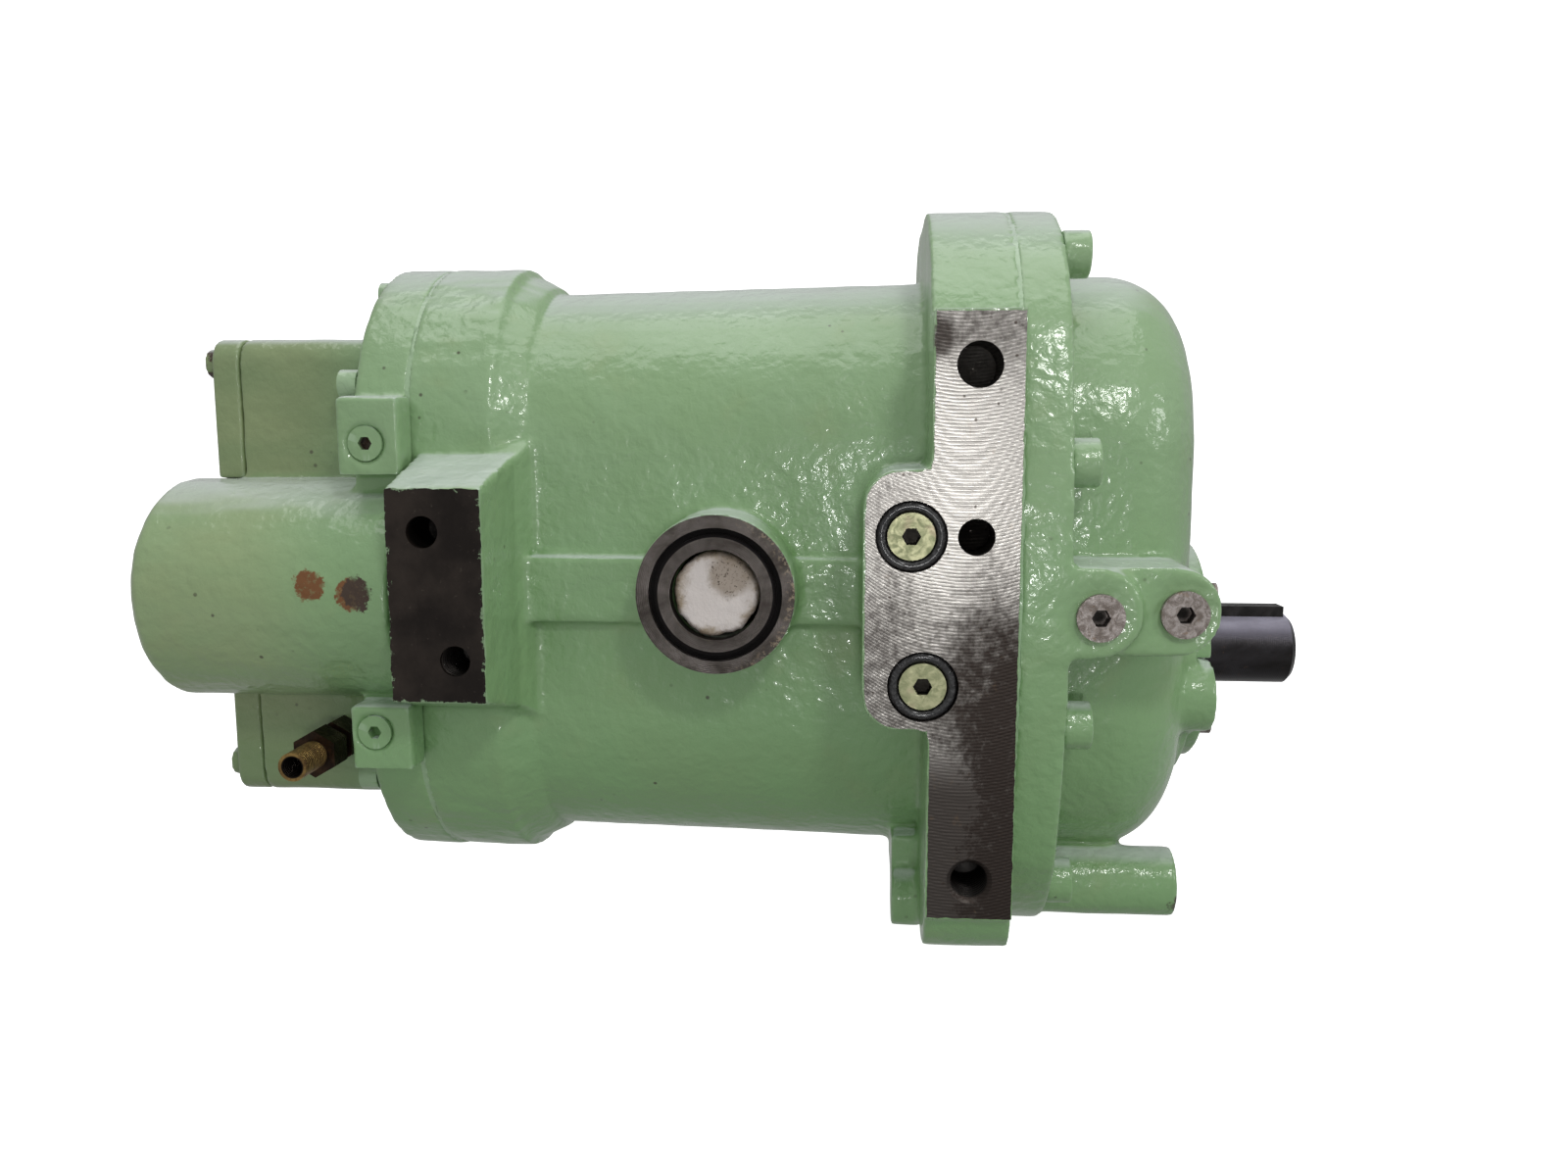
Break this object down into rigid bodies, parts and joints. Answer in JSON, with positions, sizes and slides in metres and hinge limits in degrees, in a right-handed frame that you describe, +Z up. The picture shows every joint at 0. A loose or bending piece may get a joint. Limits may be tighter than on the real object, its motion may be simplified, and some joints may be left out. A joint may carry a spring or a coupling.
{
  "type": "hydraulic motor",
  "caption": "Cast twin-screw rotary machine with a geared, keyed drive shaft, side-mounted machined feet and a slide-valve control cylinder.",
  "frame": {"origin": "on the machined foot face, on the line of the foot holes, level with the rotor mid plane", "axes": "+X along the drive shaft towards its free end, +Y from the foot face into the body, +Z up from the drive shaft towards the male rotor"},
  "size_m": [0.4923, 0.22, 0.3168],
  "materials": {
    "enamel": "glossy pale green enamel over a rough sand casting",
    "machined_iron": "fly-cut grey iron with oil stains",
    "gasket": "thin dark paper gasket, painted over at its edge",
    "shaft_steel": "turned, darkened steel",
    "key_steel": "blackened key steel",
    "bearing_steel": "ground bearing steel",
    "seal_rubber": "oily black rubber",
    "zinc_yellow": "yellow-passivated zinc",
    "plug_steel": "plain steel, worn and lightly rusted",
    "cap_plastic": "dull white plastic with oily dirt",
    "brass": "dark oily brass",
    "gear_steel": "ground steel",
    "spring_steel": "oiled spring wire"
  },
  "bodies": {
    "casing": {"rotor_housing": "enamel", "end_housing": "enamel", "end_plate": "enamel", "drive_cover": "enamel", "seal_cover": "enamel", "end_gasket": "gasket", "cover_gasket": "gasket", "shaft_seal": "seal_rubber", "return_spring": "spring_steel", "rod_gland": "machined_iron", "male_end_bearing": "bearing_steel", "female_end_bearing": "bearing_steel", "male_drive_bearing": "bearing_steel", "female_drive_bearing": "bearing_steel", "shaft_inner_bearing": "bearing_steel", "shaft_outer_bearing": "bearing_steel", "cover_bolts": "enamel", "end_cover_bolts": "enamel", "plate_bolts": "enamel", "seal_cover_bolts": "plug_steel", "cover_dowel_pins": "plug_steel", "end_dowel_pins": "plug_steel", "ear_plug_pair": "zinc_yellow", "ear_seal_rings": "seal_rubber", "lug_plug_pair": "plug_steel", "block_plug_pair": "enamel", "port_cap": "cap_plastic", "oil_fitting": "brass"},
    "drive_shaft": {"input_shaft": "shaft_steel", "shaft_key": "key_steel", "drive_gear": "gear_steel", "gear_key": "key_steel", "gear_spacer": "plug_steel", "shaft_inner_race": "bearing_steel", "shaft_outer_race": "bearing_steel"},
    "male_screw": {"male_rotor": "gear_steel", "pinion": "gear_steel", "pinion_key": "key_steel", "pinion_nut": "plug_steel", "male_locknut": "plug_steel", "male_end_race": "bearing_steel", "male_drive_race": "bearing_steel"},
    "female_screw": {"female_rotor": "gear_steel", "female_locknut": "plug_steel", "female_end_race": "bearing_steel", "female_drive_race": "bearing_steel"},
    "slide": {"slide_valve": "machined_iron", "slide_rod": "gear_steel", "control_piston": "machined_iron", "piston_ring": "seal_rubber"}
  },
  "joints": [
    {"name": "shaft_turn", "type": "hinge", "parent": "casing", "child": "drive_shaft", "pos_m": [0.05, 0.115, -0.036], "axis": [1, 0, 0], "continuous": true},
    {"name": "male_turn", "type": "hinge", "parent": "casing", "child": "male_screw", "pos_m": [-0.1, 0.115, 0.044], "axis": [1, 0, 0], "continuous": true},
    {"name": "female_turn", "type": "hinge", "parent": "casing", "child": "female_screw", "pos_m": [-0.1, 0.115, -0.044], "axis": [1, 0, 0], "continuous": true},
    {"name": "slide_shift", "type": "slide", "parent": "casing", "child": "slide", "axis": [1, 0, 0], "range_m": [0, 0.03], "stiffness_N_per_m": 2500, "springref_m": -0.01, "deforming": ["return_spring"]}
  ],
  "couplings": [
    {"joint": "male_turn", "follows": "shaft_turn", "ratio": -1.7826},
    {"joint": "female_turn", "follows": "shaft_turn", "ratio": 1.1884}
  ]
}
